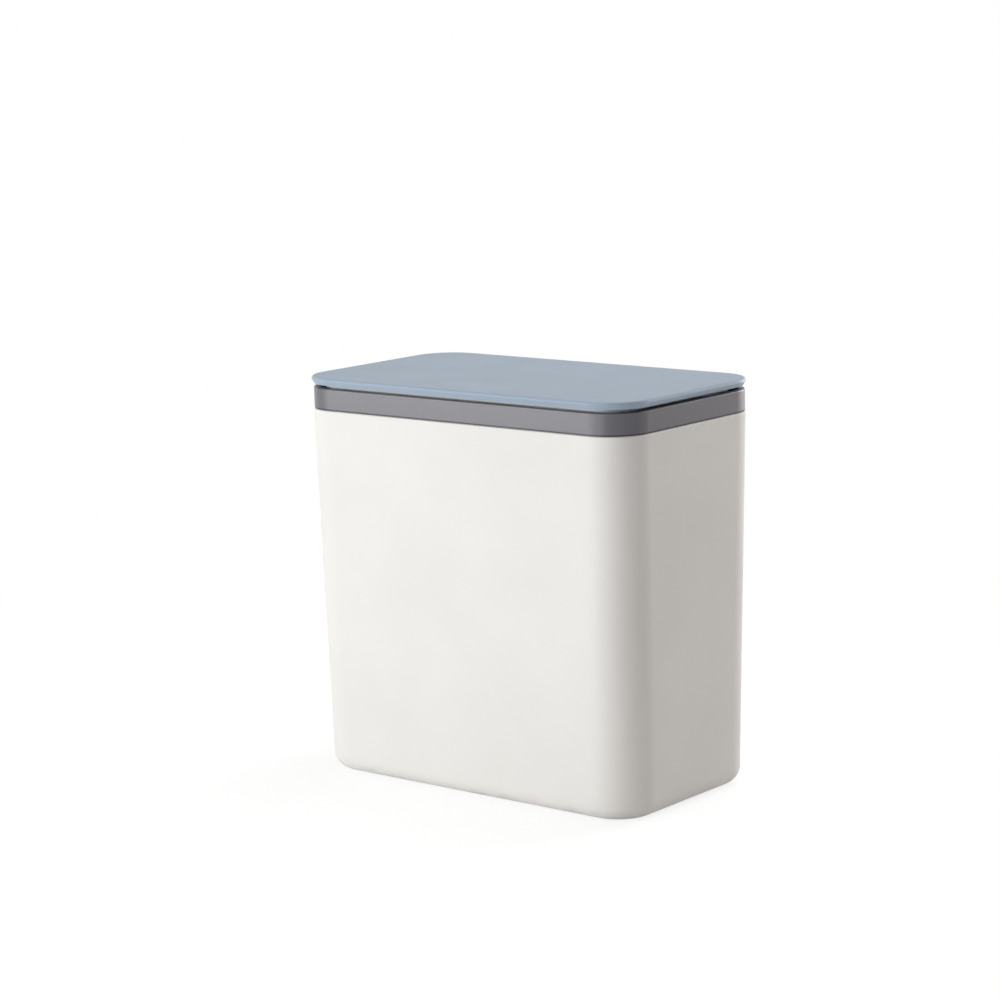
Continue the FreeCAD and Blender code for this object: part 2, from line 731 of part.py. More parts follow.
def make_torsion_spring(hand):
    """Coil about the pin: one leg on the collar's seat, one under the lid's liner."""
    radius = value_of("torsion_radius")
    pitch = value_of("torsion_pitch")
    first_x = value_of("coil_inner")
    tilt = math.radians(LEG_TILT)

    def point_at(turn):
        angle = 2 * math.pi * turn - math.pi / 2 + tilt
        return FreeCAD.Vector(HAND[hand] * (first_x + pitch * turn), radius * math.cos(angle),
                              radius * math.sin(angle))

    bend = value_of("torsion_bend")
    leg = value_of("torsion_leg - knuckle_clearance")
    coil, first_way, last_way = coil_edges(point_at, TORSION_TURNS)
    start, corner, bend_end, tip = leg_corners(point_at(0), -first_way, bend, leg)
    seat_leg = [Part.LineSegment(tip, bend_end).toShape(), tangent_arc(bend_end, corner, start)]
    start, corner, bend_end, tip = leg_corners(point_at(TORSION_TURNS), last_way, bend, leg)
    lid_leg = [tangent_arc(start, corner, bend_end), Part.LineSegment(bend_end, tip).toShape()]
    spring = make_spring("torsion_spring_" + hand, seat_leg + coil + lid_leg,
                         value_of("torsion_wire"))
    place(spring, "%d * hinge_spread / 2" % HAND[hand], "axis_along", "axis_height")
    return spring


def make_latch_spring():
    """Compression spring between the housing's floor and the slider."""
    radius = value_of("latch_spring_radius")
    wire = value_of("latch_spring_wire")
    inset = wire / 2 + value_of("latch_spring_end_gap")
    low = value_of("spring_floor") + inset
    rise = value_of("slider_bottom") - inset - low

    def point_at(turn):
        angle = 2 * math.pi * turn
        return FreeCAD.Vector(radius * math.cos(angle), radius * math.sin(angle),
                              low + rise * turn / LATCH_SPRING_TURNS)

    coil = coil_edges(point_at, LATCH_SPRING_TURNS)[0]
    spring = make_spring("latch_spring", coil, wire)
    place(spring, "0", "latch_along", "deck_top")
    return spring


# Push latch, drawn about the middle of its mouth at the top of the deck

def latch_body(name):
    body = new_body(name)
    place(body, "0", "latch_along", "deck_top")
    return body


def centred_box(body, name, width, depth, off, x_shift="0", y_shift="0"):
    sketch = new_sketch(body, name, across=x_shift, along=y_shift, off=off)
    half_w = "(" + width + ") / 2"
    half_d = "(" + depth + ") / 2"
    add_outline(sketch, box_points("-" + half_w, half_w, "-" + half_d, half_d))
    return sketch


def make_latch_housing():
    body = latch_body("latch_housing")
    shell = pad(body, centred_box(body, "HousingOuter", "latch_width", "latch_depth", "0"),
                "latch_length", reverse=True)
    rounded = upright_edges(shell) + edges_at(shell, level("-latch_length"))
    fillet(body, "HousingEdges", rounded, "latch_edge_radius")
    ears = new_sketch(body, "Ears", off="ear_top")
    add_rounded_rectangle(ears, "ears", "2 * (ear_across + ear_radius)", "2 * ear_radius",
                          "ear_corner_radius")
    pad(body, ears, "ear_thickness", reverse=True)
    pocket(body, centred_box(body, "HousingBore", "latch_bore_width", "latch_bore_depth", "0"),
           "latch_length - latch_floor")
    holes = new_sketch(body, "EarHoles", off="ear_top")
    for hand, sign in HAND.items():
        add_circle(holes, "hole_" + hand, "%d * ear_across" % sign, "0",
                   "screw_radius + screw_hole_clearance")
    pocket(body, holes, "ear_thickness + overrun")
    pivot = new_sketch(body, "CamPivotHole", "XZ_Plane", off="-latch_depth / 2 - overrun")
    add_circle(pivot, "pivot", "-track_half_span", "spring_floor + cam_pivot_height",
               "cam_wire_radius + cam_hole_clearance")
    pocket(body, pivot, "latch_wall + 2 * overrun", reverse=True)
    return body


def make_latch_slider():
    """Plunger with two jaws for the striker and a heart track for the cam wire."""
    body = latch_body("latch_slider")
    pad(body, centred_box(body, "SliderBlock", "slider_width", "slider_depth", "slider_top"),
        "slider_length", reverse=True)
    gap = new_sketch(body, "JawGap", "XZ_Plane")
    half = "jaw_gap / 2"
    lead = "(jaw_gap / 2 + jaw_lead)"
    add_outline(gap, [("-" + half, "jaw_floor"), (half, "jaw_floor"),
                      (half, "slider_top - jaw_lead"), (lead, "slider_top"),
                      (lead, "slider_top + overrun"), ("-" + lead, "slider_top + overrun"),
                      ("-" + lead, "slider_top"), ("-" + half, "slider_top - jaw_lead")])
    pocket(body, gap, "slider_depth + overrun", middle=True)
    face = new_sketch(body, "FaceRecess", "XZ_Plane", off="-slider_depth / 2")
    add_outline(face, box_points("-face_recess_width / 2", "face_recess_width / 2",
                                 "slider_bottom - overrun", "recess_top"))
    pocket(body, face, "face_recess_depth", reverse=True)
    track = new_sketch(body, "HeartTrack", "XZ_Plane", off="-recess_floor")
    reach = "(track_half_span + track_width / 2)"
    island = "(track_half_span - track_width / 2)"
    add_outline(track, [("-" + reach, "track_low"), (reach, "track_low"), (reach, "track_high"),
                        ("0", "track_high + track_peak"), ("-" + reach, "track_high")])
    add_outline(track, [("0", "track_low + track_width"),
                        (island, "track_low + track_width + track_rise"),
                        (island, "track_high - track_width"),
                        ("0", "track_high - track_width - heart_notch"),
                        ("-" + island, "track_high - track_width"),
                        ("-" + island, "track_low + track_width + track_rise")], "heart")
    pocket(body, track, "track_depth", reverse=True)
    return body


def make_latch_cam_pin():
    """Bent wire that follows the heart track, pivoted low in the housing's wall."""
    body = latch_body("latch_cam_pin")
    outer = "latch_depth / 2 - cam_wire_gap"
    line = "recess_floor + cam_wire_radius + cam_wire_gap"
    tip = "recess_floor - track_depth + cam_wire_gap"
    low = "spring_floor + cam_pivot_height"
    high = "cam_tip_height"
    spine = new_sketch(body, "CamSpine", "YZ_Plane", off="-track_half_span")
    add_bent_path(spine, outer, line, tip, low, high, "cam_bend_radius")
    ring = new_sketch(body, "CamWire", "XZ_Plane", off="-(" + outer + ")")
    add_circle(ring, "wire", "-track_half_span", low, "cam_wire_radius")
    pipe = body.newObject("PartDesign::AdditivePipe", "CamPipe")
    pipe.Profile = ring
    pipe.Spine = (spine, ["Edge%d" % number for number in range(1, 6)])
    doc.recompute()
    return body


def add_bent_path(sketch, outer, line, tip, low, high, bend):
    """In along the pivot, up the wire's line, in again to the tip, with round bends."""
    outer_x, line_x, tip_x = (value_of(rule) for rule in (outer, line, tip))
    low_y, high_y, radius = (value_of(rule) for rule in (low, high, bend))
    up = FreeCAD.Vector(0, 0, 1)
    ends = [((outer_x, low_y), (line_x + radius, low_y)),
            ((line_x, low_y + radius), (line_x, high_y - radius)),
            ((line_x - radius, high_y), (tip_x, high_y))]
    rows = [sketch.addGeometry(Part.LineSegment(FreeCAD.Vector(*a, 0), FreeCAD.Vector(*b, 0)))
            for a, b in ends]
    first = Part.Circle(FreeCAD.Vector(line_x + radius, low_y + radius, 0), up, radius)
    second = Part.Circle(FreeCAD.Vector(line_x - radius, high_y - radius, 0), up, radius)
    low_bend = sketch.addGeometry(Part.ArcOfCircle(first, math.pi, 3 * math.pi / 2))
    high_bend = sketch.addGeometry(Part.ArcOfCircle(second, 0, math.pi / 2))
    for joint in ((rows[0], 2, low_bend, 2), (low_bend, 1, rows[1], 1),
                  (rows[1], 2, high_bend, 1), (high_bend, 2, rows[2], 1)):
        sketch.addConstraint(Sketcher.Constraint("Tangent", *joint))
    for row, way in zip(rows, ("Horizontal", "Vertical", "Horizontal")):
        sketch.addConstraint(Sketcher.Constraint(way, row))
    sketch.addConstraint(Sketcher.Constraint("Equal", low_bend, high_bend))
    fix_size(sketch, "bend", bend, "Radius", low_bend)
    fix_size(sketch, "outer", outer, "DistanceX", -1, 1, rows[0], 1)
    fix_size(sketch, "low", low, "DistanceY", -1, 1, rows[0], 1)
    fix_size(sketch, "line", line, "DistanceX", -1, 1, rows[1], 1)
    fix_size(sketch, "tip", tip, "DistanceX", -1, 1, rows[2], 2)
    fix_size(sketch, "high", high, "DistanceY", -1, 1, rows[2], 2)


def make_latch_striker():
    """Post under the lid: a flange held between liner and panel, a neck and a head."""
    body = latch_body("latch_striker")
    seat = "(liner_floor - deck_top)"
    tip = "(" + seat + " - striker_reach)"
    neck = "striker_neck_width / 2"
    head = "striker_head_width / 2"
    post = new_sketch(body, "StrikerPost", "XZ_Plane")
    right = [("(" + head + " - striker_lead)", tip), (head, tip + " + striker_lead"),
             (head, tip + " + striker_head_height - striker_lead"),
             (neck, tip + " + striker_head_height"), (neck, seat + " + striker_flange / 2")]
    left = [("-" + across, height) for across, height in reversed(right)]
    add_outline(post, right + left)
    pad(body, post, "striker_depth", middle=True)
    flange = new_sketch(body, "StrikerFlange", off=seat)
    add_outline(flange, box_points("-striker_flange_width / 2", "striker_flange_width / 2",
                                   "striker_flange_front", "striker_flange_depth / 2"))
    pad(body, flange, "striker_flange")
    return body


# Screws and bumpers

def add_screw(body, name, across, along, bearing, length):
    """A pan-head screw that points up, its head under the bearing face."""
    sketch = new_sketch(body, name, "XZ_Plane", across, bearing, "-(" + along + ")")
    add_outline(sketch, [("0", "-screw_head_height"),
                         ("screw_head_radius - screw_head_round", "-screw_head_height"),
                         ("screw_head_radius", "screw_head_round - screw_head_height"),
                         ("screw_head_radius", "0"), ("screw_radius", "0"),
                         ("screw_radius", length + " - screw_point"),
                         ("screw_radius / 2", length), ("0", length)])
    revolve(body, sketch)


def make_latch_screws():
    body = latch_body("latch_screws")
    length = "ear_thickness + screw_pad_height + deck_thickness / 2 - screw_bottom_gap"
    for hand, sign in HAND.items():
        add_screw(body, "LatchScrew_" + hand, "%d * ear_across" % sign, "0",
                  "ear_top - ear_thickness", length)
    return body


def make_liner_screws():
    body = new_body("liner_screws")
    length = "lid_top - panel_skin - liner_bottom - screw_bottom_gap"
    for tag, across, along in liner_screw_places():
        add_screw(body, "Liner" + tag, across, along, "liner_bottom", length)
    return body


def make_bumper(hand):
    """Soft stop on the deck that the liner meets at the end of the press."""
    body = new_body("press_bumper_" + hand)
    sketch = new_sketch(body, "Bumper_" + hand)
    add_circle(sketch, "disc", "0", "0", "bumper_radius")
    disc = pad(body, sketch, "bumper_height")
    fillet(body, "BumperEdge_" + hand, edges_at(disc, level("bumper_height")), "bumper_edge_radius")
    place(body, "%d * bumper_across" % HAND[hand], "latch_along", "deck_top")
    return body


# Lid

def lid_outline(body, name, inset, off):
    return rounded_sketch(body, name, "lid_width - 2 * " + inset, "lid_depth - 2 * " + inset,
                          "lid_corner - " + inset, along="lid_shift", off=off)


def make_lid_panel():
    """Thin panel with a double bevel round its edge and a recess for the liner."""
    body = new_body("lid_panel")
    low = lid_outline(body, "PanelUnder", "lid_under_bevel", "lid_bottom")
    wide = lid_outline(body, "PanelWidest", "0", "lid_bottom + lid_under_bevel_height")
    high = lid_outline(body, "PanelTop", "lid_top_bevel", "lid_top")
    loft(body, "AdditiveLoft", [low, wide, high], ruled=True)
    recess = rounded_sketch(body, "PanelRecess", "liner_width + 2 * liner_clearance",
                            "liner_depth + 2 * liner_clearance",
                            "liner_corner + liner_clearance", along="liner_shift",
                            off="lid_bottom")
    cut = pocket(body, recess, "panel_recess_depth", reverse=True)
    fillet(body, "PanelEdge", edges_at(cut, level("lid_top")), "lid_edge_radius")
    bosses = new_sketch(body, "PanelBosses", off="liner_top")
    pilots = new_sketch(body, "PanelPilots", off="liner_floor")
    for tag, across, along in liner_screw_places():
        add_circle(bosses, tag, across, along, "panel_boss_radius")
        add_circle(pilots, tag, across, along, "screw_radius + pilot_clearance")
    pad(body, bosses, "liner_top - liner_floor", reverse=True)
    pocket(body, pilots, "lid_top - panel_skin - liner_floor", reverse=True)
    return body


def liner_screw_places():
    return [("screw_%d" % (2 * row + column), "%d * liner_screw_across" % across,
             "%d * liner_screw_along" % along)
            for row, along in enumerate((-1, 1)) for column, across in enumerate((-1, 1))]


def make_lid_liner():
    """Tray under the panel, with the two arms that swing on the hinge pins."""
    body = new_body("lid_liner")
    outer = rounded_sketch(body, "LinerOuter", "liner_width", "liner_depth", "liner_corner",
                           along="liner_shift", off="liner_bottom")
    pad(body, outer, "liner_top - liner_bottom")
    tray = rounded_sketch(body, "LinerTray", "liner_width - 2 * liner_rim_wall",
                          "liner_depth - 2 * liner_rim_wall",
                          "liner_corner - liner_rim_wall", along="liner_shift",
                          off="liner_top")
    pocket(body, tray, "liner_top - liner_floor")
    middle = "(arm_inner + arm_outer) / 2"
    arm = hinge_sketch(body, "Arm", middle)
    add_outline(arm, [("-arm_root", "hinge_drop - liner_drop"),
                      ("-knuckle_radius", "hinge_drop - liner_drop"),
                      ("-knuckle_radius", "0"), ("arm_rear", "0"), ("arm_rear", "hinge_drop"),
                      ("-arm_root", "hinge_drop")])
    barrel = hinge_sketch(body, "ArmBarrel", middle)
    add_circle(barrel, "barrel", "0", "0", "knuckle_radius")
    bore = hinge_sketch(body, "ArmBore", middle)
    add_circle(bore, "bore", "0", "0", "pin_radius + pin_running_clearance")
    made = [pad(body, arm, "arm_width", middle=True), pad(body, barrel, "arm_width", middle=True),
            pocket(body, bore, "arm_width + overrun", middle=True)]
    mirror(body, "ArmLeft", made)
    holes = new_sketch(body, "LinerHoles", off="liner_floor")
    for tag, across, along in liner_screw_places():
        add_circle(holes, tag, across, along, "screw_radius + screw_hole_clearance")
    pocket(body, holes, "liner_plate + overrun")
    slot = new_sketch(body, "StrikerSlot", along="latch_along", off="liner_floor")
    half_w = "(striker_head_width / 2 + striker_slot_clearance)"
    half_d = "(striker_depth / 2 + striker_slot_clearance)"
    add_outline(slot, box_points("-" + half_w, half_w, "-" + half_d, half_d))
    pocket(body, slot, "liner_plate + overrun")
    return body


# Checks and files

def faults_in(pieces):
    """Failed objects, bad shapes, and cuts or pads that changed nothing."""
    faults = [item.Name + " has failed" for item in doc.Objects
              if "Invalid" in item.State or "Error" in item.State]
    for piece in pieces:
        if piece.Shape.isNull() or not piece.Shape.isValid() or not piece.Shape.Solids:
            faults.append(piece.Label + " has no valid solid")
    for item in doc.Objects:
        base = getattr(item, "BaseFeature", None)
        if base is None or not item.isDerivedFrom("PartDesign::Feature") or base.Shape.isNull():
            continue
        change = item.Shape.Volume - base.Shape.Volume
        cuts = item.TypeId.split("::")[1] in ("Pocket", "SubtractiveLoft", "Chamfer")
        if near(change, 0) or (cuts and change > 0):
            faults.append("%s changes the volume by %.3f" % (item.Name, change))
    return faults


def main():
    pieces = [make_bucket(), make_collar()]
    pieces += [make_hinge_pin(hand) for hand in HAND]
    pieces += [make_torsion_spring(hand) for hand in HAND]
    pieces += [make_bumper(hand) for hand in HAND]
    pieces += [make_latch_housing(), make_latch_screws(), make_latch_cam_pin(),
               make_latch_spring(), make_latch_slider()]
    pieces += [make_lid_panel(), make_lid_liner(), make_liner_screws(), make_latch_striker()]
    doc.recompute()
    faults = faults_in(pieces)
    if faults:
        raise RuntimeError("; ".join(faults))
    os.makedirs("parts", exist_ok=True)
    for piece in pieces:
        piece.Shape.exportStep("parts/" + piece.Label + ".step")
        print("%-22s %d solid(s) %10.2f mm3" % (piece.Label, len(piece.Shape.Solids),
                                                piece.Shape.Volume))


main()
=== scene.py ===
import json
import math

import bmesh
import bpy
from mathutils import Matrix, Vector


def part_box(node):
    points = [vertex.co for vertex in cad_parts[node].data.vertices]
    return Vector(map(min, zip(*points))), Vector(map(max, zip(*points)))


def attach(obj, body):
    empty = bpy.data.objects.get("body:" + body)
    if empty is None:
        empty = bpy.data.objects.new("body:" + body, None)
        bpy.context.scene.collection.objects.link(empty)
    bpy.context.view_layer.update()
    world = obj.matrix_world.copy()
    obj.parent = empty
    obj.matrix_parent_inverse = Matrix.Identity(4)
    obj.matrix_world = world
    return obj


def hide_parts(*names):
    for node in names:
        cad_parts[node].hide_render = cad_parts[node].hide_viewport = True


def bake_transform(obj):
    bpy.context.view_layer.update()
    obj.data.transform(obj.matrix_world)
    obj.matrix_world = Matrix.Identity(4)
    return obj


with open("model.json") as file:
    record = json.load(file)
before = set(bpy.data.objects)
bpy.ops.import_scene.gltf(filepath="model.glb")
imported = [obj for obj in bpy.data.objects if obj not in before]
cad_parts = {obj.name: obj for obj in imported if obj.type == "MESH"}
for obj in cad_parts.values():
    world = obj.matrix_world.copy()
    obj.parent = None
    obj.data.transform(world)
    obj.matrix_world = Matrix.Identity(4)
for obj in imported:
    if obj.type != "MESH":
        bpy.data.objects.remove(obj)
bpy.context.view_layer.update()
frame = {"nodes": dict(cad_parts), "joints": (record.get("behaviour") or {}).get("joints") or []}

# Small desk bin with a press-to-open lid: finishes, springs, screws, stage, lights and camera.
# Metres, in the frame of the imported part. The latch side faces -Y, the hinges are at the rear.

MM = 0.001
NODES = frame["nodes"]

# The camera, fitted to the bin's outline and seams in the photograph. Angles are in degrees,
# the sensor and the lens in millimetres.
CAMERA_AZIMUTH = 38.904
CAMERA_ELEVATION = 10.079
CAMERA_ROLL = -1.359
CAMERA_DISTANCE = 1085.1 * MM
CAMERA_SHIFT_RIGHT = -11.26 * MM
CAMERA_SHIFT_UP = 28.24 * MM
CAMERA_AIM_HEIGHT = 75 * MM
CAMERA_CLIP = 50 * MM
SENSOR = 36
LENS = 105.32

# Colours, linear
BUCKET_WHITE = (0.80, 0.787, 0.765)
BUCKET_WARM = (0.80, 0.777, 0.745)
BUCKET_RUBBED = (0.52, 0.50, 0.47)
COLLAR_GREY = (0.117, 0.113, 0.130)
LID_BLUE = (0.318, 0.402, 0.502)
LINER_GREY = (0.60, 0.61, 0.62)
LATCH_BLACK = (0.030, 0.031, 0.034)
SLIDER_WHITE = (0.72, 0.71, 0.68)
RUBBER_GREY = (0.055, 0.056, 0.06)
RUBBER_DUST = (0.16, 0.16, 0.16)
STEEL = (0.60, 0.60, 0.59)
SPRING_STEEL = (0.52, 0.51, 0.49)
WHITE = (1, 1, 1)
FLOOR_BOUNCE = (0.78, 0.78, 0.78)
FLOOR_SHADED = (0.30, 0.30, 0.30)


# Node graphs

# Sockets of a mix of two colours, by place, because its number sockets have the same names
MIX_SHARE = 0
MIX_FIRST = 6
MIX_SECOND = 7
MIX_RESULT = 2


class Graph:
    """The node tree of a material or of the world."""

    def __init__(self, owner):
        owner.use_nodes = True
        self.owner = owner
        self.nodes = owner.node_tree.nodes
        self.links = owner.node_tree.links
        self.shader = self.nodes.get("Principled BSDF")
        self.place = self.nodes.new("ShaderNodeTexCoord").outputs["Object"]

    def add(self, kind, **settings):
        node = self.nodes.new("ShaderNode" + kind)
        for field, value in settings.items():
            setattr(node, field, value)
        return node

    def feed(self, socket, value):
        """Link a socket to an output, or set it. Colours come as red, green and blue."""
        if isinstance(value, bpy.types.NodeSocket):
            self.links.new(value, socket)
        elif socket.type == "RGBA":
            socket.default_value = (*value, 1)
        else:
            socket.default_value = value

    def fill(self, node, **inputs):
        """Feed a node's inputs, named with underscores for spaces."""
        for field, value in inputs.items():
            self.feed(node.inputs[field.replace("_", " ")], value)
        return node

    def stretched(self, stretch):
        mapping = self.fill(self.add("Mapping"), Vector=self.place, Scale=stretch)
        return mapping.outputs["Vector"]

    def noise(self, size, detail, stretch=None, distortion=0):
        """Cloudy values about 0.5, with patches of about that size in millimetres."""
        place = self.stretched(stretch) if stretch else self.place
        node = self.fill(self.add("TexNoise"), Vector=place, Scale=1 / (size * MM), Detail=detail,
                         Distortion=distortion)
        return node.outputs["Fac"]

    def cells(self, size):
        """Distance to the nearest point of a scatter with that spacing in millimetres."""
        node = self.fill(self.add("TexVoronoi"), Vector=self.place, Scale=1 / (size * MM))
        return node.outputs["Distance"]

    def height(self):
        """Height in the frame of the part."""
        return self.fill(self.add("SeparateXYZ"), Vector=self.place).outputs["Z"]

    def distance(self, place, centre):
        node = self.add("VectorMath", operation="DISTANCE")
        self.feed(node.inputs[0], place)
        self.feed(node.inputs[1], centre)
        return node.outputs["Value"]

    def spread(self, value, low, high, to_low=0.0, to_high=1.0, smooth=False):
        """A value from low to high, laid out from to_low to to_high and held there beyond."""
        node = self.add("MapRange")
        if smooth:
            node.interpolation_type = "SMOOTHSTEP"
        self.fill(node, Value=value, From_Min=low, From_Max=high, To_Min=to_low, To_Max=to_high)
        return node.outputs["Result"]

    def maths(self, operation, first, second=0.0):
        node = self.add("Math", operation=operation)
        self.feed(node.inputs[0], first)
        self.feed(node.inputs[1], second)
        return node.outputs[0]

    def raised(self, value, mark, amount):
        """A value that is higher by an amount where the mark is 1."""
        return self.maths("ADD", value, self.maths("MULTIPLY", mark, amount))

    def blend(self, share, first, second):
        """A colour between two, by share."""
        node = self.add("Mix", data_type="RGBA")
        self.feed(node.inputs[MIX_SHARE], share)
        self.feed(node.inputs[MIX_FIRST], first)
        self.feed(node.inputs[MIX_SECOND], second)
        return node.outputs[MIX_RESULT]

    def bump(self, height, depth, under=None):
        """Relief of that depth in millimetres, on top of another relief."""
        node = self.fill(self.add("Bump"), Height=height, Distance=depth * MM, Strength=1.0)
        if under is not None:
            self.links.new(under, node.inputs["Normal"])
        return node.outputs["Normal"]

    def mixed(self, share, first, second):
        """A surface between two others, by share."""
        node = self.add("MixShader")
        self.links.new(share, node.inputs[0])
        self.links.new(first.outputs[0], node.inputs[1])
        self.links.new(second.outputs[0], node.inputs[2])
        return node

    def summed(self, first, second):
        """A surface that gives the light of two others together."""
        node = self.add("AddShader")
        self.links.new(first.outputs[0], node.inputs[0])
        self.links.new(second.outputs[0], node.inputs[1])
        return node

    def seen(self):
        """1 for what the camera sees, straight, in a reflection or through glass."""
        path = self.add("LightPath").outputs
        direct = self.maths("MAXIMUM", path["Is Camera Ray"], path["Is Glossy Ray"])
        return self.maths("MAXIMUM", direct, path["Is Transmission Ray"])

    def surface(self, shader, output):
        self.links.new(shader.outputs[0], self.nodes[output].inputs["Surface"])

    def finish(self, **inputs):
        self.fill(self.shader, **inputs)
        return self.owner


def material_graph(name):
    return Graph(bpy.data.materials.new(name))


def tinted(colour, factor):
    return tuple(channel * factor for channel in colour)


# Parts of the plastic finishes

PLASTIC_IOR = 1.49
# Spans of a noise's values: most of it, its middle and its rare peaks
PATCHES = (0.3, 0.7)
CLOUDS = (0.35, 0.65)
HAIRS = (0.66, 0.71)
# How far a pit reaches towards its neighbours, and its depth as a share of the grain's
PIT_REACH = 0.5
PIT_SHARE = 0.5
SCRATCH_ROUGHNESS = 0.08


def clouded(graph, colour, size, shade):
    """A colour with clouds of a darker shade of it."""
    cloud = graph.spread(graph.noise(size, detail=3), *CLOUDS)
    return graph.blend(cloud, colour, tinted(colour, shade))


def hairlines(graph, size, stretch, distortion, span=HAIRS):
    """1 on thin lines, drawn out along the axes whose factor is small, 0 between them."""
    return graph.spread(graph.noise(size, detail=5, stretch=stretch, distortion=distortion), *span)


def relief(graph, wave, wave_depth, grain, depth, pits):
    """Slow waves, an eroded grain on them and pits in the grain, in millimetres."""
    waves = graph.bump(graph.noise(wave, detail=1), wave_depth)
    eroded = graph.bump(graph.noise(grain, detail=3), depth, waves)
    return graph.bump(graph.spread(graph.cells(pits), 0.0, PIT_REACH), depth * PIT_SHARE, eroded)


def plastic(graph, tone, rough, normal, gloss):
    return graph.finish(Base_Color=tone, Roughness=rough, Normal=normal, IOR=PLASTIC_IOR,
                        Specular_IOR_Level=gloss)


# Bucket

WARM_SHARE = 0.35
RUB_HEIGHT = 7 * MM
RUB_SPAN = (0.52, 0.66)
RUB_TINT = 0.35
RUB_ROUGHNESS = 0.15


def rubbed_foot(graph):
    """1 where the bucket is rubbed, on streaks that thin out upwards from its foot."""
    foot = graph.spread(graph.height(), 0.0, RUB_HEIGHT, 1.0, 0.0, smooth=True)
    streaks = graph.spread(graph.noise(size=3, detail=5, stretch=(0.3, 0.3, 1.6)), *RUB_SPAN)
    return graph.maths("MULTIPLY", foot, streaks)


def bucket_finish():
    """White plastic, faintly rubbed where the bin slides about on its foot."""
    graph = material_graph("bucket_white")
    tone = clouded(graph, BUCKET_WHITE, size=40, shade=0.965)
    warm = graph.spread(graph.noise(size=90, detail=2), *CLOUDS, to_high=WARM_SHARE)
    tone = graph.blend(warm, tone, BUCKET_WARM)
    rubs = rubbed_foot(graph)
    tone = graph.blend(graph.maths("MULTIPLY", rubs, RUB_TINT), tone, BUCKET_RUBBED)
    scratch = hairlines(graph, size=9, stretch=(0.05, 0.05, 1.0), distortion=0.4)
    rough = graph.spread(graph.noise(size=18, detail=4), *PATCHES, to_low=0.50, to_high=0.60)
    rough = graph.raised(rough, scratch, SCRATCH_ROUGHNESS)
    rough = graph.raised(rough, rubs, RUB_ROUGHNESS)
    normal = relief(graph, wave=38, wave_depth=0.09, grain=0.35, depth=0.006, pits=0.8)
    return plastic(graph, tone, rough, normal, gloss=0.3)


# Lid

LID_TOP = 150 * MM
PRESS_REACH_X = 30 * MM
PRESS_REACH_Y = 13 * MM
PRESS_PLACE_Y = -31 * MM
PRESS_CORE = 0.25
PRESS_SPAN = (0.42, 0.62)
PRESS_POLISH = 0.07
LID_MOTTLE_SHADE = 0.94
LID_MOTTLE_SHARE = 0.2


def pressed_polish(graph):
    """1 on finger marks in the middle of the lid's front, where it is pressed, 0 elsewhere."""
    # The place is counted in reaches, so that the pressed spot is wider than it is deep
    place = graph.stretched((1 / PRESS_REACH_X, 1 / PRESS_REACH_Y, 1))
    away = graph.distance(place, (0, PRESS_PLACE_Y / PRESS_REACH_Y, LID_TOP))
    pressed = graph.spread(away, PRESS_CORE, 1.0, 1.0, 0.0, smooth=True)
    marks = graph.noise(size=2.6, detail=5, stretch=(1.0, 0.45, 1.0), distortion=1.2)
    return graph.maths("MULTIPLY", pressed, graph.spread(marks, *PRESS_SPAN))


def lid_finish():
    """Grey-blue plastic, polished a little where it is pressed at the front."""
    graph = material_graph("lid_blue")
    tone = clouded(graph, LID_BLUE, size=30, shade=0.97)
    mottle = graph.spread(graph.noise(size=1.6, detail=4), *CLOUDS, to_high=LID_MOTTLE_SHARE)
    tone = graph.blend(mottle, tone, tinted(LID_BLUE, LID_MOTTLE_SHADE))
    scratch = hairlines(graph, size=8, stretch=(1.0, 0.05, 1.0), distortion=0.3)
    rough = graph.spread(graph.noise(size=14, detail=4), *PATCHES, to_low=0.44, to_high=0.49)
    rough = graph.raised(rough, scratch, SCRATCH_ROUGHNESS)
    rough = graph.raised(rough, pressed_polish(graph), -PRESS_POLISH)
    normal = relief(graph, wave=34, wave_depth=0.05, grain=0.3, depth=0.008, pits=0.7)
    return plastic(graph, tone, rough, normal, gloss=0.5)


# Collar, liner, latch and slider

CLOUD_SHADE = 0.94
MOTTLE_SHADE = 0.9118
MOTTLE_SHARE = 0.25
PATCH_ROUGHNESS = 0.02
HAIR_ROUGHNESS = 0.06
PIT_SPACING = 2.4
# Painted shadow in the groove at the collar's foot: a darker band of colour, its middle above the
# rim, its reach, its fade and its tint
PAINTED_SHADOW_MIDDLE = 0.25 * MM
PAINTED_SHADOW_REACH = 0.4 * MM
PAINTED_SHADOW_FADE = 0.15 * MM
PAINTED_SHADOW_TINT = 0.2


def painted_groove_shadow(graph, height):
    """Mask of the painted shadow: 1 in a band round that height, 0 above and below it."""
    off = graph.maths("ABSOLUTE", graph.maths("SUBTRACT", graph.height(), height))
    return graph.spread(off, PAINTED_SHADOW_REACH - PAINTED_SHADOW_FADE, PAINTED_SHADOW_REACH, 1.0, 0.0)


